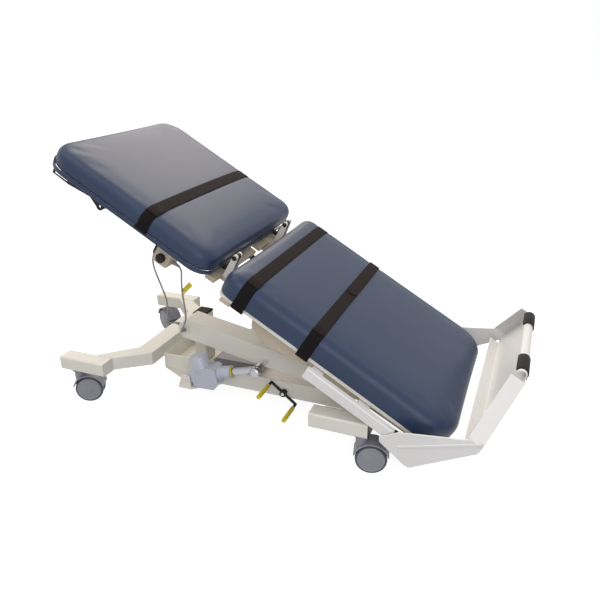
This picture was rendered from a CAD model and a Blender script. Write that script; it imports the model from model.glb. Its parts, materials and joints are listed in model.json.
# %% [markdown]
# # A tilting treatment table with a sliding footboard
# This lesson adds what CAD does not have: stuffed vinyl cushions, webbing, hanging cords,
# paint and plastic. Everything is in metres, +X runs to the foot end and +Z is up.

# %% The frame
import bpy
import bmesh
import json
import math
from mathutils import Matrix, Vector


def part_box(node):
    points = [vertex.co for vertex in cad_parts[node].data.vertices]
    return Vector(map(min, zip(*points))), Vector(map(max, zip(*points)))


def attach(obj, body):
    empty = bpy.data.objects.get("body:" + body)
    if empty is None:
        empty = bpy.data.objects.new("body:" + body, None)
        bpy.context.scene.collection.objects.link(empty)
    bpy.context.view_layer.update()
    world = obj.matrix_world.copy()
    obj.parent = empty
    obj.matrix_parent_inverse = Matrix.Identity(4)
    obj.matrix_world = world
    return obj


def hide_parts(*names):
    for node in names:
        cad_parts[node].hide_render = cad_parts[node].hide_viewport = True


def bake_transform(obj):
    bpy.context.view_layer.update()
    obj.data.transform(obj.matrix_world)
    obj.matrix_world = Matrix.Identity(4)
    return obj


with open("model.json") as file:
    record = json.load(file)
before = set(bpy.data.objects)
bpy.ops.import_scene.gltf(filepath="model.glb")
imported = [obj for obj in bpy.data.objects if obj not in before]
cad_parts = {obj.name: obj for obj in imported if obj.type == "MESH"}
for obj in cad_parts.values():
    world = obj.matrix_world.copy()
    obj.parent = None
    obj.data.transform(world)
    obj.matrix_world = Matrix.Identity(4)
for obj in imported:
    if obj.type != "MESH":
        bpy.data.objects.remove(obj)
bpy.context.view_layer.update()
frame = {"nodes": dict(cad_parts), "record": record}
scene = bpy.context.scene
scene.view_settings.view_transform = "Standard"
MM = 0.001

# %% [markdown]
# ## The camera
# The photograph was taken from a little above the table, towards the foot end of the near side.
# Its vanishing points give the two angles and the lens.

# %% Camera
CAMERA_AT = Vector((0.762, -1.917, 1.24))
LENS_MM, SENSOR_MM = 37.86, 36
AZIMUTH, ELEVATION = math.radians(21.2), math.radians(22.6)
right = Vector((math.cos(AZIMUTH), math.sin(AZIMUTH), 0))
ahead = Vector((-math.sin(AZIMUTH) * math.cos(ELEVATION), math.cos(AZIMUTH) * math.cos(ELEVATION),
                -math.sin(ELEVATION)))
up = right.cross(ahead)
bpy.ops.object.camera_add()
camera = bpy.context.object
camera.name = "photo_camera"
camera.data.lens, camera.data.sensor_width = LENS_MM, SENSOR_MM
camera.matrix_world = Matrix((
    (right.x, up.x, -ahead.x, CAMERA_AT.x), (right.y, up.y, -ahead.y, CAMERA_AT.y),
    (right.z, up.z, -ahead.z, CAMERA_AT.z), (0, 0, 0, 1)))
scene.camera = camera
print("camera:", tuple(round(c, 3) for c in camera.location))

# %% [markdown]
# ## The frame of the top
# The top is tilted by 30 degrees about the tilt axle. Its pieces are easiest to describe lying flat,
# with x along the top and z away from it, and then turned into place.

# %% Frame of the top
TILT = math.radians(30)
joints = {j["name"]: j for j in frame["record"]["behaviour"]["joints"]}
axle = Vector(joints["tilt"]["pos_m"])
top_place = Matrix.Translation(axle) @ Matrix.Rotation(TILT, 4, "Y")
print("tilt axle:", tuple(round(c, 4) for c in axle))

# %% [markdown]
# ## Helpers for modelling
# Operators act on whatever is selected, so each piece starts from an empty selection. A finished piece
# has its place in its mesh and its object at the origin, as a CAD node has.


# %% Modelling helpers
def deselect():
    if bpy.context.mode != "OBJECT":
        bpy.ops.object.mode_set(mode="OBJECT")
    bpy.ops.object.select_all(action="DESELECT")


def only(obj):
    deselect()
    obj.select_set(True)
    bpy.context.view_layer.objects.active = obj
    return obj


def settle(obj, name, place=None):
    """Name the piece, put it in place and leave its object at the origin."""
    only(obj)
    obj.name = obj.data.name = name
    if place is not None:
        obj.matrix_world = place @ obj.matrix_world
    bpy.ops.object.transform_apply(location=True, rotation=True, scale=True)
    return obj


def apply_modifier(obj, kind, **settings):
    only(obj)
    modifier = obj.modifiers.new(kind.title(), kind)
    for key, value in settings.items():
        setattr(modifier, key, value)
    bpy.ops.object.modifier_apply(modifier=modifier.name)


def smooth(obj, angle=35):
    only(obj)
    bpy.ops.object.shade_smooth_by_angle(angle=math.radians(angle))


def outward(obj, merge=1e-5):
    only(obj)
    bpy.ops.object.mode_set(mode="EDIT")
    bpy.ops.mesh.select_all(action="SELECT")
    bpy.ops.mesh.remove_doubles(threshold=merge)
    bpy.ops.mesh.normals_make_consistent(inside=False)
    bpy.ops.object.mode_set(mode="OBJECT")


def pick_edges(obj, test):
    """In edit mode, select the edges whose two ends pass the test."""
    bpy.ops.mesh.select_mode(type="EDGE")
    bpy.ops.mesh.select_all(action="DESELECT")
    mesh = bmesh.from_edit_mesh(obj.data)
    for edge in mesh.edges:
        edge.select_set(test(edge.verts[0].co, edge.verts[1].co))
    bmesh.update_edit_mesh(obj.data)


def facing(at, direction):
    """A placing matrix that puts a piece's own Z along a direction."""
    return Matrix.Translation(at) @ Vector(direction).to_track_quat("Z", "Y").to_matrix().to_4x4()


# %% [markdown]
# ## Colours and nodes
# Colours are written as sRGB hex values, and one function turns them to the linear numbers that
# Blender works in. One function adds a node: settings are its own properties, values go to sockets,
# and a socket that is given another node's output is linked to it.


# %% Colours and nodes
def linear(hex_colour):
    """'#rrggbb' as a linear RGBA tuple."""
    parts = [int(hex_colour[i:i + 2], 16) / 255 for i in (1, 3, 5)]
    return tuple(c / 12.92 if c <= 0.04045 else ((c + 0.055) / 1.055) ** 2.4 for c in parts) + (1.0,)


def add(tree, kind, settings=None, values=None):
    node = tree.nodes.new(kind)
    for key, value in (settings or {}).items():
        setattr(node, key, value)
    for key, value in (values or {}).items():
        if isinstance(value, bpy.types.NodeSocket):
            tree.links.new(value, node.inputs[key])
        else:
            node.inputs[key].default_value = value
    return node


def blank_material(name):
    material = bpy.data.materials.new(name)
    material.use_nodes = True
    material.node_tree.nodes.clear()
    return material, material.node_tree


def finished(material, tree, values):
    shader = add(tree, "ShaderNodeBsdfPrincipled", None, values)
    add(tree, "ShaderNodeOutputMaterial", None, {"Surface": shader.outputs["BSDF"]})
    return material


def surface(name, low, high, rough, cloud_mm=120, grain_mm=2.0, depth_mm=0.05, **shader):
    """A finish that wanders between two close colours, with a fine grain in its bump and its gloss."""
    material, tree = blank_material(name)
    where = add(tree, "ShaderNodeTexCoord").outputs["Object"]
    cloud = add(tree, "ShaderNodeTexNoise", None,
                {"Vector": where, "Scale": 1 / (cloud_mm * MM), "Detail": 4.0, "Roughness": 0.6})
    grain = add(tree, "ShaderNodeTexNoise", None,
                {"Vector": where, "Scale": 1 / (grain_mm * MM), "Detail": 2.0, "Roughness": 0.5})
    tint = add(tree, "ShaderNodeMix", {"data_type": "RGBA"}, {0: cloud.outputs["Fac"]})
    tint.inputs[6].default_value, tint.inputs[7].default_value = linear(low), linear(high)
    gloss = add(tree, "ShaderNodeMapRange", None,
                {"Value": grain.outputs["Fac"], "To Min": rough - 0.05, "To Max": rough + 0.05})
    bump = add(tree, "ShaderNodeBump", None,
               {"Height": grain.outputs["Fac"], "Strength": 1.0, "Distance": depth_mm * MM})
    values = {"Base Color": tint.outputs[2], "Roughness": gloss.outputs["Result"],
              "Normal": bump.outputs["Normal"]}
    return finished(material, tree, {**values, **shader})


# %% [markdown]
# ## Vinyl
# Upholstery vinyl is PVC on a knitted backing, embossed with a leather grain of about 1 mm cells. The
# cells are drawn at 2 mm so that they show. The satin film mirrors a broad soft glare from above.


# %% Vinyl
def vinyl(name, low, high):
    material, tree = blank_material(name)
    where = add(tree, "ShaderNodeTexCoord").outputs["Object"]
    cloud = add(tree, "ShaderNodeTexNoise", None,
                {"Vector": where, "Scale": 1 / (260 * MM), "Detail": 3.0, "Roughness": 0.55})
    cells = add(tree, "ShaderNodeTexVoronoi", {"feature": "SMOOTH_F1"},
                {"Vector": where, "Scale": 1 / (2 * MM), "Smoothness": 0.6})
    pores = add(tree, "ShaderNodeTexNoise", None,
                {"Vector": where, "Scale": 1 / (0.9 * MM), "Detail": 2.0, "Roughness": 0.5})
    tint = add(tree, "ShaderNodeMix", {"data_type": "RGBA"}, {0: cloud.outputs["Fac"]})
    tint.inputs[6].default_value, tint.inputs[7].default_value = linear(low), linear(high)
    gloss = add(tree, "ShaderNodeMapRange", None,
                {"Value": cells.outputs["Distance"], "To Min": 0.36, "To Max": 0.48})
    coarse = add(tree, "ShaderNodeBump", {"invert": True},
                 {"Height": cells.outputs["Distance"], "Strength": 0.8, "Distance": 0.12 * MM})
    fine = add(tree, "ShaderNodeBump", None,
               {"Height": pores.outputs["Fac"], "Strength": 0.6, "Distance": 0.04 * MM,
                "Normal": coarse.outputs["Normal"]})
    return finished(material, tree, {
        "Base Color": tint.outputs[2], "Roughness": gloss.outputs["Result"], "IOR": 1.52,
        "Specular IOR Level": 0.32, "Normal": fine.outputs["Normal"],
        "Sheen Weight": 0.06, "Sheen Roughness": 0.45, "Sheen Tint": linear("#b9b4ac")})


# %% [markdown]
# ## Webbing
# The straps are polypropylene webbing, woven in a twill whose ribs run across the band. The pattern
# follows each strap's own UV map, which is laid out in metres: u along the strap, v across it.


# %% Webbing
def webbing(name, low, high):
    material, tree = blank_material(name)
    where = add(tree, "ShaderNodeTexCoord").outputs["UV"]
    period = math.tau / 20
    ribs = add(tree, "ShaderNodeTexWave", {"wave_type": "BANDS", "bands_direction": "X"},
               {"Vector": where, "Scale": period / (2.6 * MM), "Distortion": 0.6, "Detail": 1.0})
    yarns = add(tree, "ShaderNodeTexWave", {"wave_type": "BANDS", "bands_direction": "Y"},
                {"Vector": where, "Scale": period / (3.4 * MM), "Distortion": 0.8, "Detail": 1.0})
    fuzz = add(tree, "ShaderNodeTexNoise", None, {"Vector": where, "Scale": 1 / (9 * MM), "Detail": 3.0})
    weave = add(tree, "ShaderNodeMath", {"operation": "MULTIPLY"},
                {0: ribs.outputs["Fac"], 1: yarns.outputs["Fac"]})
    blend = add(tree, "ShaderNodeMath", {"operation": "ADD", "use_clamp": True},
                {0: weave.outputs[0], 1: fuzz.outputs["Fac"]})
    tint = add(tree, "ShaderNodeMix", {"data_type": "RGBA"}, {0: blend.outputs[0]})
    tint.inputs[6].default_value, tint.inputs[7].default_value = linear(low), linear(high)
    bump = add(tree, "ShaderNodeBump", None,
               {"Height": weave.outputs[0], "Strength": 1.0, "Distance": 0.5 * MM})
    return finished(material, tree, {
        "Base Color": tint.outputs[2], "Roughness": 0.8, "Normal": bump.outputs["Normal"],
        "Specular IOR Level": 0.15,
        "Sheen Weight": 0.05, "Sheen Roughness": 0.5, "Sheen Tint": linear("#7a6d66")})


# %% [markdown]
# ## Paint, plastic, rubber and steel
# Powder coat is baked polyester paint. It has a faint orange peel of about 2 mm, drawn a little
# coarser here so that it shows, and a satin gloss. The base is a cooler off-white, the top's frame
# warmer, and the footboard nearly white. Black parts get a low specular level, which keeps them dark.

# %% Finishes by material slot
DULL = {"Specular IOR Level": 0.2}
FINISH = {
    "cream_paint": surface("powder_coat_off_white", "#dcd9cf", "#e7e4da", 0.42, 160, 3.0, 0.05),
    "white_paint": surface("powder_coat_white", "#dfdedb", "#e8e7e5", 0.40, 160, 3.0, 0.04),
    "beige_paint": surface("powder_coat_beige", "#b9ad9a", "#c4b8a5", 0.45, 160, 3.0, 0.05),
    "black_plastic": surface("moulded_nylon_black", "#191818", "#232221", 0.50, 60, 0.8, 0.04, **DULL),
    "black_rubber": surface("moulded_rubber_black", "#1f1c1b", "#2a2624", 0.68, 60, 1.2, 0.10, **DULL),
    "black_steel": surface("black_enamelled_steel", "#151515", "#1f1f1f", 0.36, 80, 2.0, 0.03, **DULL),
    "grey_plastic": surface("moulded_nylon_grey", "#85868d", "#92939a", 0.45, 60, 0.9, 0.04),
    "actuator_plastic": surface("moulded_ABS_blue_grey", "#b4b9c4", "#bfc4ce", 0.36, 90, 1.5, 0.03),
    "yellow_plastic": surface("dipped_PVC_yellow", "#cbb60d", "#d8c41c", 0.35, 40, 1.5, 0.03),
    "tyre_rubber": surface("polyurethane_tread_slate", "#39404b", "#454c58", 0.55, 50, 1.0, 0.05),
    "bright_steel": surface("zinc_plated_steel", "#a3a5aa", "#b2b4b9", 0.30, 40, 0.8, 0.02, Metallic=1.0),
    "cord_sheath": surface("PVC_cord_grey", "#8b8a86", "#979690", 0.48, 30, 1.0, 0.03),
    "blue_vinyl": vinyl("upholstery_vinyl_slate_blue", "#24334f", "#2b3a55"),
    "webbing": webbing("polypropylene_webbing_brown_black", "#0f0b0a", "#211a18"),
}
BLACK_WEB = webbing("polypropylene_webbing_black", "#060505", "#100d0c")
slot_of = {s["node"]: s["material_slot"] for s in frame["record"]["subparts"]}
for node_name, node_object in frame["nodes"].items():
    node_object.data.materials.clear()
    node_object.data.materials.append(FINISH[slot_of[node_name]])
# The end of the lift axle is painted over together with the beam.
frame["nodes"]["lift_axle"].data.materials[0] = FINISH["cream_paint"]


def dress(obj, slot, material=None):
    obj.data.materials.clear()
    obj.data.materials.append(material or FINISH[slot])
    return obj


print("finishes:", len(FINISH) + 1)

# %% [markdown]
# ## Two hanging cords
# Two grey PVC cords leave the bar under the back section and hang down to the lift arm. Both ends are
# in glands of the CAD model. The route's points are the ones that the CAD cord follows, and one smooth
# curve through them is given a round section. The cord bends when the top tilts, so each point follows
# the arm, the top, or something in between.

# %% Cords
CORD_D = 6 * MM
MOTOR_ROUTE = [
    (-310.57, -262, 561.07), (-303.6, -262, 557.1), (-296.5, -261.8, 550), (-293.5, -261, 538),
    (-295.5, -259, 520), (-299.5, -255, 498), (-303.5, -249.5, 470), (-307, -241, 435), (-310, -231, 400),
    (-318, -216, 358), (-332, -202, 325), (-350, -188, 298), (-365, -176, 278), (-373.5, -166, 266.5),
    (-376, -156.5, 262.5), (-376, -145.6, 262)]
CONTROL_ROUTE = [
    (-370.74, -285, 602.04), (-374.7, -285, 595.1), (-380.2, -284.6, 584.5), (-383.5, -283, 569),
    (-383.5, -279.5, 547), (-381.5, -271.5, 518), (-379.5, -260.5, 488), (-379, -245.5, 452),
    (-384, -226, 416), (-397, -203, 377), (-414, -182, 330), (-432, -166, 300), (-441, -148, 282),
    (-437, -127, 274), (-425.5, -116, 272.2), (-413.7, -115, 270.25)]


def smooth_route(route, steps=8):
    """Points, in metres, of one smooth curve through a route in millimetres."""
    pts = [Vector(p) * MM for p in route]
    out = []
    for i in range(len(pts) - 1):
        a, b, c, d = pts[max(i - 1, 0)], pts[i], pts[i + 1], pts[min(i + 2, len(pts) - 1)]
        for k in range(steps):
            t = k / steps
            out.append(0.5 * (2 * b + (c - a) * t + (2 * a - 5 * b + 4 * c - d) * t * t
                              + (3 * b - a - 3 * c + d) * t ** 3))
    return out + [pts[-1]]


def hang_cord(name, route, node, tags=()):
    points = smooth_route(route)
    line = bpy.data.curves.new(name, "CURVE")
    line.dimensions = "3D"
    line.bevel_depth, line.bevel_resolution, line.use_fill_caps = CORD_D / 2, 3, True
    spline = line.splines.new("POLY")
    spline.points.add(len(points) - 1)
    for point, at in zip(spline.points, points):
        point.co = (*at, 1)
    cord = bpy.data.objects.new(name, line)
    scene.collection.objects.link(cord)
    only(cord)
    bpy.ops.object.convert(target="MESH")
    outward(cord)
    smooth(cord, 60)
    dress(cord, "cord_sheath")
    for piece in (cord, *tags):
        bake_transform(piece)
    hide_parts(node)
    return cord


# %% [markdown]
# A strip of plain yellow tape is folded round the thicker cord like a flag. It is a narrow grid, given
# a slight curl by moving its free end, then a thickness.

# %% Tape flag and cords
FLAG_AT = Vector((-304.8, -246.5, 457)) * MM
FLAG_LONG, FLAG_WIDE, FLAG_OUT, FLAG_CURL = 42 * MM, 17 * MM, 3.2, 5
across, along = (up - right).normalized(), (up + right).normalized()
deselect()
bpy.ops.mesh.primitive_grid_add(x_subdivisions=10, y_subdivisions=2, size=1)
flag = bpy.context.object
for vertex in flag.data.vertices:
    u, v = vertex.co.x + 0.5, vertex.co.y
    vertex.co = (FLAG_AT + along * (u * FLAG_LONG) + across * (v * FLAG_WIDE)
                 - ahead * (FLAG_OUT + FLAG_CURL * u * u) * MM)
settle(flag, "cord_tape_flag")
apply_modifier(flag, "SOLIDIFY", thickness=0.8 * MM, offset=0)
apply_modifier(flag, "BEVEL", width=0.2 * MM, segments=2, limit_method="ANGLE")
smooth(flag)
dress(flag, "yellow_plastic")
hang_cord("motor_cord_sheathed", MOTOR_ROUTE, "motor_cord", [flag])
hang_cord("control_cord_sheathed", CONTROL_ROUTE, "control_cord")

# %% [markdown]
# ## Cushions
# Each cushion is a foam block glued to its deck and covered with one stretched skin of vinyl. The
# blank is a box with a rounded upper edge, whose corners have one radius at the head end and another at
# the foot end. It is remeshed to small even squares, drawn in between its corners, and then blown up as
# cloth under a little pressure, with its glued face held, so that the skin swells as stuffing makes it
# swell. Last, the straps press it in.

# %% Cushion helpers
HALF_W, EDGE, LOW_EDGE = 355, 32, 6
CROWN, PULL, SWELL = 5, 4, 4
VOXEL = 8
CLOTH_FRAMES = 20


def cushion_blank(name, length, thick, corners):
    """A rounded block, lying on Z = 0, a little smaller than the finished cushion."""
    half_x, half_y = (length / 2 - SWELL) * MM, (HALF_W - SWELL) * MM
    height = (thick - 2) * MM
    deselect()
    bpy.ops.mesh.primitive_cube_add(size=2, location=(0, 0, height / 2))
    blank = bpy.context.object
    blank.scale = (half_x, half_y, height / 2)
    settle(blank, name)
    bpy.ops.object.mode_set(mode="EDIT")
    for end, radius in zip((-1, 1), corners):
        pick_edges(blank, lambda a, b: (abs(a.z - b.z) > height / 2
                                        and min(a.x * end, b.x * end) > half_x * 0.99))
        bpy.ops.mesh.bevel(offset=(radius - SWELL) * MM, segments=14, affect="EDGES")
    pick_edges(blank, lambda a, b: min(a.z, b.z) > height - 1e-5)
    bpy.ops.mesh.bevel(offset=EDGE * MM, segments=8, affect="EDGES")
    pick_edges(blank, lambda a, b: max(a.z, b.z) < 1e-5)
    bpy.ops.mesh.bevel(offset=LOW_EDGE * MM, segments=3, affect="EDGES")
    bpy.ops.object.mode_set(mode="OBJECT")
    outward(blank)
    blank.data.remesh_voxel_size = VOXEL * MM
    bpy.ops.object.voxel_remesh()
    for vertex in blank.data.vertices:
        s, t = vertex.co.x / half_x, vertex.co.y / half_y
        vertex.co.y *= 1 - PULL * MM / half_y * max(0, 1 - s * s)
        vertex.co.x *= 1 - PULL * MM / half_x * max(0, 1 - t * t)
        if vertex.co.z > height * 0.6:
            vertex.co.z += CROWN * MM * max(0, 1 - s * s) * max(0, 1 - t * t)
    return blank


def stuff(cushion, cap=3 * MM):
    """Blow the skin up with a cloth simulation, and keep no point further than cap from its start."""
    glued = cushion.vertex_groups.new(name="glued_face")
    glued.add([v.index for v in cushion.data.vertices if v.co.z < 3 * MM], 1.0, "REPLACE")
    before = [v.co.copy() for v in cushion.data.vertices]
    cloth = cushion.modifiers.new("Cloth", "CLOTH")
    cloth.settings.quality = 5
    cloth.settings.mass = 0.3
    cloth.settings.tension_stiffness = cloth.settings.compression_stiffness = 25
    cloth.settings.bending_stiffness = 1.0
    cloth.settings.use_pressure = True
    cloth.settings.uniform_pressure_force = 4
    cloth.settings.vertex_group_mass = glued.name
    cloth.settings.effector_weights.gravity = 0
    cloth.collision_settings.use_collision = False
    cloth.point_cache.frame_start, cloth.point_cache.frame_end = 1, CLOTH_FRAMES
    for step in range(1, CLOTH_FRAMES + 1):
        scene.frame_set(step)
    only(cushion)
    bpy.ops.object.modifier_apply(modifier=cloth.name)
    for vertex, start in zip(cushion.data.vertices, before):
        move = vertex.co - start
        if move.length > cap:
            vertex.co = start + move.normalized() * cap
    scene.frame_set(1)


def press(cushion, thick, strap_xs):
    """Each strap presses a shallow groove, deepest where it bends over the cushion's edge."""
    for vertex in cushion.data.vertices:
        co = vertex.co
        for strap_x in strap_xs:
            near = max(0.0, 1 - abs(co.x / MM - strap_x) / 40)
            groove = near * near * (3 - 2 * near)
            bend = max(0.0, min(1.0, (abs(co.y) / MM - HALF_W + 60) / 40))
            if co.z > thick * MM * 0.2 and groove > 0:
                vertex.co -= vertex.normal * groove * (0.8 + 2.2 * bend) * MM


# %% [markdown]
# ## Straps
# A strap is a strip of 42 mm webbing that lies on the cushion. Its middle line runs from under the deck
# up the side, over the edge and across. Along that line, rays are cast at the finished cushion to find
# its surface, and a narrow grid is laid on what they hit. A lifted stretch lies on another layer.


# %% Strap helpers
STRAP_W, WEB_T = 42, 2.4
STEP = 28


def strap_line(thick, drop, inset):
    """Points (y, z) round one section with their outward directions, from near to far, in mm."""
    half, line = HALF_W - PULL, []
    line += [(-half - 1 + inset - k * inset / 5, -drop, 0, -1, False) for k in range(5)]
    line += [(-half - 1.5, -drop + 2 + k * (drop + 4) / 4, -1, 0, False) for k in range(4)]
    line += [(-half, 8 + k * (thick - EDGE - 8) / 8, -1, 0, True) for k in range(8)]
    for k in range(9):
        a = math.radians(90 * k / 8)
        line.append((-half + EDGE * (1 - math.cos(a)), thick - EDGE + EDGE * math.sin(a),
                     -math.cos(a), math.sin(a), True))
    across = half - EDGE
    line += [(-across + k * across / 45, thick + CROWN, 0, 1, True) for k in range(1, 46)]
    return line + [(-y, z, -ny, nz, hit) for y, z, ny, nz, hit in reversed(line[:-1])]


def lay_strap(name, cushion, line, x, lift, material, round_end=False):
    """Lay webbing over the cushion along part of a line; lift(y) is its height above the skin in mm."""
    rows, columns = len(line), 5
    middle = []
    for y, z, ny, nz, on_cushion in line:
        outside = Vector((x, y, z)) * MM
        normal = Vector((0, ny, nz))
        if on_cushion:
            hits = []
            for k in range(columns):
                start = outside + Vector((k / (columns - 1) - 0.5, 0, 0)) * STRAP_W * MM + normal * 60 * MM
                found, place, _, _ = cushion.ray_cast(start, -normal)
                if found:
                    hits.append((place - outside).dot(normal))
            outside = outside + normal * (sum(hits) / len(hits))
        middle.append(outside + normal * lift(y) * MM)
    inner = [(a + 2 * b + c) / 4 for a, b, c in zip(middle, middle[1:], middle[2:])]
    eased = [middle[0], *inner, middle[-1]]
    reach = [0.0]
    for a, b in zip(eased, eased[1:]):
        reach.append(reach[-1] + (b - a).length)
    deselect()
    bpy.ops.mesh.primitive_grid_add(x_subdivisions=columns - 1, y_subdivisions=rows - 1, size=1)
    strap = bpy.context.object
    half = STRAP_W * MM / 2
    for index, vertex in enumerate(strap.data.vertices):
        row, column = divmod(index, columns)
        narrow = 1.0
        if round_end and reach[row] < half:
            narrow = max(0.25, math.sqrt(1 - (1 - reach[row] / half) ** 2))
        vertex.co = eased[row] + Vector(((column / (columns - 1) - 0.5) * 2 * half * narrow, 0, 0))
    uv = strap.data.uv_layers.active.data
    for loop in strap.data.loops:
        row, column = divmod(loop.vertex_index, columns)
        uv[loop.index].uv = (reach[row], column / (columns - 1) * STRAP_W * MM)
    settle(strap, name)
    highest = max(strap.data.polygons, key=lambda face: face.center.z)
    if highest.normal.z < 0:
        bpy.ops.object.mode_set(mode="EDIT")
        bpy.ops.mesh.select_all(action="SELECT")
        bpy.ops.mesh.flip_normals()
        bpy.ops.object.mode_set(mode="OBJECT")
    apply_modifier(strap, "SOLIDIFY", thickness=WEB_T * MM, offset=1)
    apply_modifier(strap, "BEVEL", width=0.6 * MM, segments=2, limit_method="ANGLE",
                   angle_limit=math.radians(50))
    smooth(strap, 40)
    dress(strap, "webbing", material)
    return strap, reach[-1]


def step_up(edge, low, high):
    """A lift that is high before the edge and falls to low over STEP mm behind it."""
    def lift(y):
        t = max(0.0, min(1.0, (y - edge) / STEP))
        return high + (low - high) * t * t * (3 - 2 * t)
    return lift


# %% [markdown]
# ## Hem
# On the back section the vinyl is pulled down over the edge of the deck and stapled below it. That hem
# is a strip: the outline of a plane with rounded corners, extruded down and then turned under.


# %% Hem
HEM_IN, HEM_TOP, HEM_LOW, HEM_UNDER = 3.5, 4, -11.2, 7
HEM_T = 1.4


def hem(name, length, corners):
    """A turned-under strip round a section's outline; Z = 0 is the top of its deck."""
    half_x, half_y = (length / 2 - HEM_IN) * MM, (HALF_W - HEM_IN) * MM
    deselect()
    bpy.ops.mesh.primitive_plane_add(size=2, location=(0, 0, HEM_TOP * MM))
    strip = bpy.context.object
    strip.scale = (half_x, half_y, 1)
    settle(strip, name)
    bpy.ops.object.mode_set(mode="EDIT")
    for end, radius in zip((-1, 1), corners):
        bpy.ops.mesh.select_mode(type="VERT")
        bpy.ops.mesh.select_all(action="DESELECT")
        mesh = bmesh.from_edit_mesh(strip.data)
        for vertex in mesh.verts:
            vertex.select_set(abs(vertex.co.x - end * half_x) < 1e-5)
        bmesh.update_edit_mesh(strip.data)
        bpy.ops.mesh.bevel(offset=(radius - HEM_IN) * MM, segments=12, affect="VERTICES")
    bpy.ops.mesh.select_all(action="SELECT")
    bpy.ops.mesh.delete(type="ONLY_FACE")
    pick_edges(strip, lambda a, b: (a - b).length > 100 * MM)
    bpy.ops.mesh.subdivide(number_cuts=16)
    bpy.ops.mesh.select_all(action="SELECT")
    bpy.ops.mesh.extrude_edges_move(TRANSFORM_OT_translate={"value": (0, 0, (HEM_LOW - HEM_TOP) * MM)})
    bpy.ops.mesh.extrude_edges_move(TRANSFORM_OT_translate={"value": (0, 0, -0.4 * MM)})
    bpy.ops.transform.resize(value=(1 - HEM_UNDER * MM / half_x, 1 - HEM_UNDER * MM / half_y, 1),
                             center_override=(0, 0, 0))
    bpy.ops.object.mode_set(mode="OBJECT")
    for vertex in strip.data.vertices:
        s, t = vertex.co.x / half_x, vertex.co.y / half_y
        vertex.co.y *= 1 - PULL * MM / half_y * max(0, 1 - s * s)
        vertex.co.x *= 1 - PULL * MM / half_x * max(0, 1 - t * t)
    outward(strip)
    apply_modifier(strip, "SOLIDIFY", thickness=HEM_T * MM, offset=0)
    apply_modifier(strip, "BEVEL", width=0.5 * MM, segments=2, limit_method="ANGLE")
    smooth(strip, 50)
    return dress(strip, "blue_vinyl")


# %% [markdown]
# ## Both sections, stuffed and strapped
# The near end of each strap is a black loop fixed under the deck. The long brown-black band lies on it
# with a square end and runs to the far side. On the lower leg strap a second layer with a rounded end
# covers the far half, where the band is doubled back through its buckle on the far side.

# %% Cushions with their straps
SECTIONS = {
    "leg": {"from": -442, "to": 408, "thick": 80, "deck": 170, "body": "top", "straps": (-348, -104),
            "drop": 13.5, "inset": 22, "corners": (55, 115), "hem": False},
    "back": {"from": -1132, "to": -479, "thick": 62, "deck": 188, "body": "back", "straps": (-733,),
             "drop": 2.0, "inset": 20, "corners": (95, 72), "hem": True}}
LOOP_END, BAND_START, SECOND_START = -296, -330, -15
LOOP_LIFT, BAND_LIFT, LAYER_LIFT = 0.3, 0.4, 3.2
for section, size in SECTIONS.items():
    centre, thick = (size["from"] + size["to"]) / 2, size["thick"]
    section_len, corners = size["to"] - size["from"], size["corners"]
    place = top_place @ Matrix.Translation((centre * MM, 0, size["deck"] * MM))
    local = [x - centre for x in size["straps"]]
    cushion = cushion_blank(section + "_cushion_stuffed", section_len, thick, corners)
    stuff(cushion)
    press(cushion, thick, local)
    apply_modifier(cushion, "SMOOTH", factor=0.5, iterations=4)
    apply_modifier(cushion, "SUBSURF", levels=1, render_levels=1)
    pieces = []
    line = strap_line(thick, size["drop"], size["inset"])
    for number, x in enumerate(local, 1):
        label = "%s_strap_%d" % (section, number)
        loop = [p for p in line if p[0] < 0 and (p[0] < LOOP_END or not p[4])]
        band = [p for p in line if p[0] > BAND_START and p[4] and p[1] > thick - EDGE / 2 or p[0] > 0]
        laid = [lay_strap(label + "_near_loop", cushion, loop, x, lambda y: LOOP_LIFT, BLACK_WEB),
                lay_strap(label + "_band", cushion, band, x, step_up(LOOP_END, BAND_LIFT, LAYER_LIFT), None)]
        if section == "leg" and number == 2:
            second = [p for p in line if p[0] > SECOND_START]
            laid.append(lay_strap(label + "_second_layer", cushion, second, x, lambda y: LAYER_LIFT,
                                  None, True))
        pieces += laid
    settle(cushion, cushion.name, place)
    smooth(cushion, 60)
    dress(cushion, "blue_vinyl")
    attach(cushion, size["body"])
    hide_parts(section + "_cushion")
    for strap, length in pieces:
        settle(strap, strap.name, place)
        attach(strap, size["body"])
        print(strap.name, "flat %.0f x %.0f mm" % (STRAP_W, length / MM))
    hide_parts("leg_straps" if section == "leg" else "back_strap")
    if size["hem"]:
        strip = hem(section + "_cushion_hem", section_len, corners)
        settle(strip, strip.name, place)
        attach(strip, size["body"])
    print(cushion.name, len(cushion.data.polygons), "faces, %.0f x %.0f x %.0f mm in its tilted place"
          % tuple(c / MM for c in cushion.dimensions))

# %% [markdown]
# ## Turned pieces
# Caps, knobs and covers are round, so they are drawn out of a disc: each extrusion moves it along its
# axis and a resize sets the next radius, as on a lathe.


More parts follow.
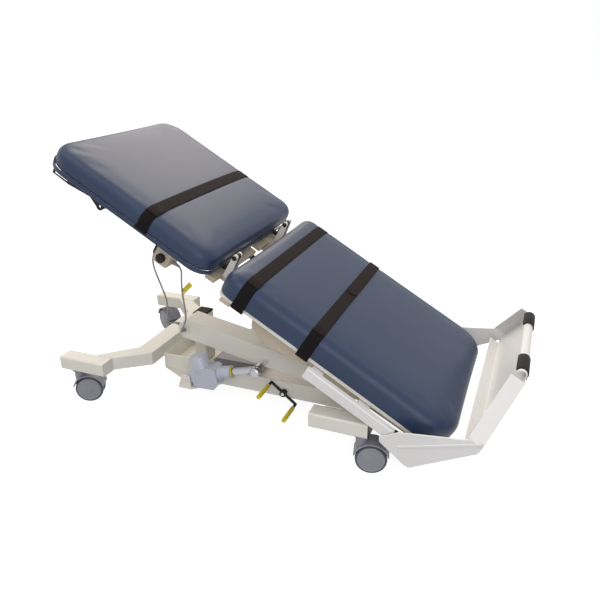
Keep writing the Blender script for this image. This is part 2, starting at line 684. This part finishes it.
# %% Turning
def turned(name, profile, place, body, slot, segments=40):
    """A closed round piece through rings of (radius, height) in mm, along its own Z."""
    deselect()
    bpy.ops.mesh.primitive_circle_add(vertices=segments, radius=profile[0][0] * MM, fill_type="NGON",
                                      location=(0, 0, profile[0][1] * MM))
    piece = settle(bpy.context.object, name)
    bpy.ops.object.mode_set(mode="EDIT")
    bpy.ops.mesh.select_all(action="SELECT")
    for (r0, h0), (r1, h1) in zip(profile, profile[1:]):
        bpy.ops.mesh.extrude_region_move(TRANSFORM_OT_translate={"value": (0, 0, (h1 - h0) * MM)})
        bpy.ops.transform.resize(value=(r1 / r0, r1 / r0, 1), center_override=(0, 0, h1 * MM))
    bpy.ops.object.mode_set(mode="OBJECT")
    outward(piece)
    settle(piece, name, place)
    smooth(piece, 32)
    dress(piece, slot)
    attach(piece, body)
    return piece


def ring(name, inner, outer, height, place, body, slot):
    """An open tube given a wall and eased edges, along its own Z."""
    deselect()
    bpy.ops.mesh.primitive_cylinder_add(vertices=48, radius=outer * MM, depth=height * MM,
                                        end_fill_type="NOTHING", location=(0, 0, height * MM / 2))
    piece = settle(bpy.context.object, name)
    apply_modifier(piece, "SOLIDIFY", thickness=(outer - inner) * MM, offset=-1)
    apply_modifier(piece, "BEVEL", width=min(0.8, height / 5) * MM, segments=3, limit_method="ANGLE")
    settle(piece, name, place)
    smooth(piece, 32)
    dress(piece, slot)
    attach(piece, body)
    return piece


# %% [markdown]
# ## Lift actuator
# A bright domed cap closes the pin at the actuator's upper end, and a yellow wiper ring keeps dirt out
# of the guide tube, which has two raised bands. The rod's direction comes from its slide joint, and
# the ring and the bands are placed along it.

# %% Pin cap and wiper
ram_root = Vector(joints["lift_motor"]["pos_m"])
ram_along = Vector(joints["lift_rod"]["axis"])
pin_low, pin_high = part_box("lift_pin")
pin_mid = (pin_low + pin_high) / 2
PIN_CAP = [(15, 0), (19, 0.5), (19.5, 3), (19.5, 7), (18.5, 11), (15.5, 15), (10.5, 17.8), (4, 19),
           (0.6, 19.1)]
WIPER_AT = 178
BANDS = ((25.4, 124), (23.2, 146))
turned("lift_pin_cap", PIN_CAP, facing((pin_mid.x, pin_low.y, pin_mid.z), (0, -1, 0)),
       "lift_arm", "bright_steel", 56)
ring("guide_tube_wiper", 12.4, 17.5, 4, facing(ram_root + ram_along * WIPER_AT * MM, ram_along),
     "lift_motor", "yellow_plastic")
for number, (radius, distance) in enumerate(BANDS, 1):
    ring("guide_tube_band_%d" % number, radius - 2, radius, 7,
         facing(ram_root + ram_along * distance * MM, ram_along), "lift_motor", "actuator_plastic")
print("cap at", tuple(round(c, 3) for c in pin_mid))

# %% [markdown]
# ## Casters
# Each twin wheel has a moulded cover with a raised rim, a dished face and a small cap over the axle.
# One profile serves all eight, each turned as its own piece, placed by the wheels' hinge axis.

# %% Wheel covers
COVER = [(42.6, 0), (42.8, 1.2), (41, 2.6), (38.5, 2.6), (37, 1.4), (24, 2.6), (15, 3.2), (13.6, 4.6),
         (6, 5.4), (0.5, 5.5)]
COVER_OUT = 26.3
covers = []
for corner in ("near_head", "far_head", "near_foot", "far_foot"):
    wheel = joints["wheels_" + corner]
    spin_axis = Vector(wheel["axis"])
    for side, sign in (("near", -1), ("far", 1)):
        hub_face = Vector(wheel["pos_m"]) + spin_axis * sign * COVER_OUT * MM
        covers.append(turned("wheel_cover_%s_%s" % (corner, side), COVER,
                             facing(hub_face, spin_axis * sign), "wheels_" + corner, "grey_plastic"))
print("wheel covers:", len(covers))

# %% [markdown]
# ## Small hardware of the top
# Black knobs close the hinge pins and the rest bar, and tapered boots hold the cords where they leave
# their glands.

# %% Hinge knobs, bar knobs and boots
KNOB = [(6, 0), (7.6, 0.8), (8, 3), (7.6, 5.4), (6, 7), (2.6, 7.8), (0.4, 7.9)]
HINGE_YS = ((-229, -1), (-185, 1), (185, -1), (229, 1))
hinge = top_place @ (Vector((-460.5, 0, 232)) * MM)
for number, (y, sign) in enumerate(HINGE_YS, 1):
    turned("hinge_knob_%d" % number, KNOB, facing((hinge.x, y * MM, hinge.z), (0, sign, 0)),
           "top", "black_steel", 28)
BAR_KNOB = [(14.4, 0), (15.4, 1), (15.4, 6), (13.4, 9), (8, 10.6), (0.6, 11)]
BAR_HALF = 308
bar = top_place @ (Vector((-651.5, 0, 120)) * MM)
for side, sign in (("near", -1), ("far", 1)):
    turned("rest_bar_knob_" + side, BAR_KNOB, facing((bar.x, sign * BAR_HALF * MM, bar.z), (0, sign, 0)),
           "top", "black_rubber")
BOOT = [(7, 0), (7.4, 1.5), (7, 4), (6.2, 8), (5.2, 14), (4.2, 21), (3.6, 24), (3.1, 24.6)]
BOOT_IN = 9.8
for end, body, label in ((0, "top", "top"), (-1, "lift_arm", "arm")):
    for cord_name, route in (("motor_cord", MOTOR_ROUTE), ("control_cord", CONTROL_ROUTE)):
        tip, inside = Vector(route[end]) * MM, Vector(route[1 if end == 0 else -2]) * MM
        away = (inside - tip).normalized()
        turned("%s_%s_boot" % (cord_name, label), BOOT, facing(tip - away * BOOT_IN * MM, away),
               body, "cord_sheath", 28)
print("hinge at", tuple(round(c, 3) for c in hinge), "bar at", tuple(round(c, 3) for c in bar))

# %% [markdown]
# ## Ledge of the footboard arms
# Each arm is folded from sheet with a ledge along its lower half, which shows as a bright line. The
# ledge is a bar, pulled out of the arm's face and eased at its edges.

# %% Arm ledges
LEDGE_FROM, LEDGE_TO = Vector((276, 0, 131)) * MM, Vector((447, 0, 310)) * MM
LEDGE_Y, LEDGE_T, LEDGE_H = 389.5, 5, 9
run = LEDGE_TO - LEDGE_FROM
slope = math.atan2(run.z, run.x)
for side, sign in (("near", -1), ("far", 1)):
    deselect()
    bpy.ops.mesh.primitive_cube_add(size=1)
    ledge = bpy.context.object
    ledge.scale = (run.length, LEDGE_T * MM, LEDGE_H * MM)
    ledge.rotation_euler = (0, -slope, 0)
    ledge.location = (LEDGE_FROM + LEDGE_TO) / 2 + Vector((0, sign * LEDGE_Y * MM, 0))
    settle(ledge, "arm_ledge_" + side, top_place)
    apply_modifier(ledge, "BEVEL", width=2 * MM, segments=4, limit_method="ANGLE")
    smooth(ledge, 35)
    dress(ledge, "white_paint")
    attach(ledge, "footboard")
print("arm ledges: %.0f mm long" % (run.length / MM))

# %% [markdown]
# ## Eased edges on the CAD parts
# Welded tube and folded sheet have no knife edges. A CAD node's mesh is loose triangles, so Weld joins
# them, a planar Decimate takes the flat seams away, and Bevel eases what is left. The mesh itself stays
# as it is, because these are live modifiers.

# %% Eased edges
EASED = {
    3.0: ("head_legs", "head_outriggers", "foot_crossbar", "foot_outriggers", "lift_beam", "lift_post"),
    1.5: ("base_channel", "foot_plate", "footboard_arms", "leg_deck", "back_deck", "slide_rails", "top_rails",
          "top_side_plates", "tilt_brackets", "rest_bar", "top_crossbars", "actuator_bracket", "control_box"),
    1.0: ("post_cap", "tube_plugs", "slide_shoes", "grip_pads", "head_brackets", "leg_hinges", "back_hinges",
          "brake_lever_near_foot", "brake_lever_far_foot", "pedal_grips"),
    2.0: ("lift_motor", "tilt_motor")}
for width, names in EASED.items():
    for name in names:
        node = frame["nodes"][name]
        weld = node.modifiers.new("Weld", "WELD")
        weld.merge_threshold = 1e-5
        planar = node.modifiers.new("Planar", "DECIMATE")
        planar.decimate_type, planar.angle_limit = "DISSOLVE", math.radians(0.5)
        bevel = node.modifiers.new("Bevel", "BEVEL")
        bevel.width, bevel.segments, bevel.limit_method = width * MM, 2, "ANGLE"
        bevel.angle_limit = math.radians(40)
print("eased:", sum(len(names) for names in EASED.values()), "nodes")

# %% [markdown]
# ## Floor, light and world
# The photograph is cut out on white. The floor is grey paint that also glows for the camera and in
# reflections, which takes it to white in the open and leaves the shadow under the table. The room is a
# soft dome, bright overhead and dim towards the horizon, and three large lamps shape the light: one
# overhead, a stronger cool one on the near side, and a warm one behind for the glare on the vinyl.

# %% Floor, light and world
FLOOR_GLOW = 0.88
bpy.ops.mesh.primitive_plane_add(size=40, location=(0, 0, 0))
floor = settle(bpy.context.object, "studio_floor")
material, tree = blank_material("studio_floor_white")
path = add(tree, "ShaderNodeLightPath")
seen = add(tree, "ShaderNodeMath", {"operation": "MAXIMUM"},
           {0: path.outputs["Is Camera Ray"], 1: path.outputs["Is Glossy Ray"]})
glow = add(tree, "ShaderNodeMath", {"operation": "MULTIPLY"}, {0: seen.outputs[0], 1: FLOOR_GLOW})
paint = add(tree, "ShaderNodeBsdfDiffuse", None, {"Color": linear("#a2a2a2")})
lamp_glow = add(tree, "ShaderNodeEmission", None, {"Color": (1, 1, 1, 1), "Strength": glow.outputs[0]})
both = add(tree, "ShaderNodeAddShader", None, {0: paint.outputs[0], 1: lamp_glow.outputs[0]})
add(tree, "ShaderNodeOutputMaterial", None, {"Surface": both.outputs[0]})
floor.data.materials.append(material)
world = bpy.data.worlds.new("soft_studio")
scene.world = world
world.use_nodes = True
tree = world.node_tree
tree.nodes.clear()
path = add(tree, "ShaderNodeLightPath")
where = add(tree, "ShaderNodeTexCoord").outputs["Generated"]
height = add(tree, "ShaderNodeSeparateXYZ", None, {0: where})
sky = add(tree, "ShaderNodeMapRange", None,
          {"Value": height.outputs["Z"], "From Min": 0.0, "From Max": 0.9, "To Min": 0.22, "To Max": 0.95})
room = add(tree, "ShaderNodeBackground", None,
           {"Color": (1.0, 0.97, 0.92, 1), "Strength": sky.outputs["Result"]})
white = add(tree, "ShaderNodeBackground", None, {"Color": (1, 1, 1, 1), "Strength": 1.0})
seen = add(tree, "ShaderNodeMath", {"operation": "MAXIMUM"},
           {0: path.outputs["Is Camera Ray"], 1: path.outputs["Is Glossy Ray"]})
mix = add(tree, "ShaderNodeMixShader", None,
          {0: seen.outputs[0], 1: room.outputs[0], 2: white.outputs[0]})
add(tree, "ShaderNodeOutputWorld", None, {"Surface": mix.outputs[0]})
# Each lamp: its place and its side in metres, its power in watts and its colour.
LAMPS = {
    "key": ((-0.9, -1.0, 3.8), 2.4, 26, "#ffffff"),
    "fill": ((1.6, -3.6, 2.0), 2.6, 62, "#f0f2ff"),
    "back": ((-1.05, 2.4, 2.7), 2.0, 44, "#fff0e0")}
for name, (at, wide, power, tint) in LAMPS.items():
    bpy.ops.object.light_add(type="AREA", location=at)
    lamp = bpy.context.object
    lamp.name, lamp.data.size, lamp.data.energy = name + "_light", wide, power
    lamp.data.color = linear(tint)[:3]
    aim = Vector((0, 0, 0.4)) - Vector(at)
    lamp.rotation_euler = aim.to_track_quat("-Z", "Y").to_euler()
print("lamps:", len(LAMPS))
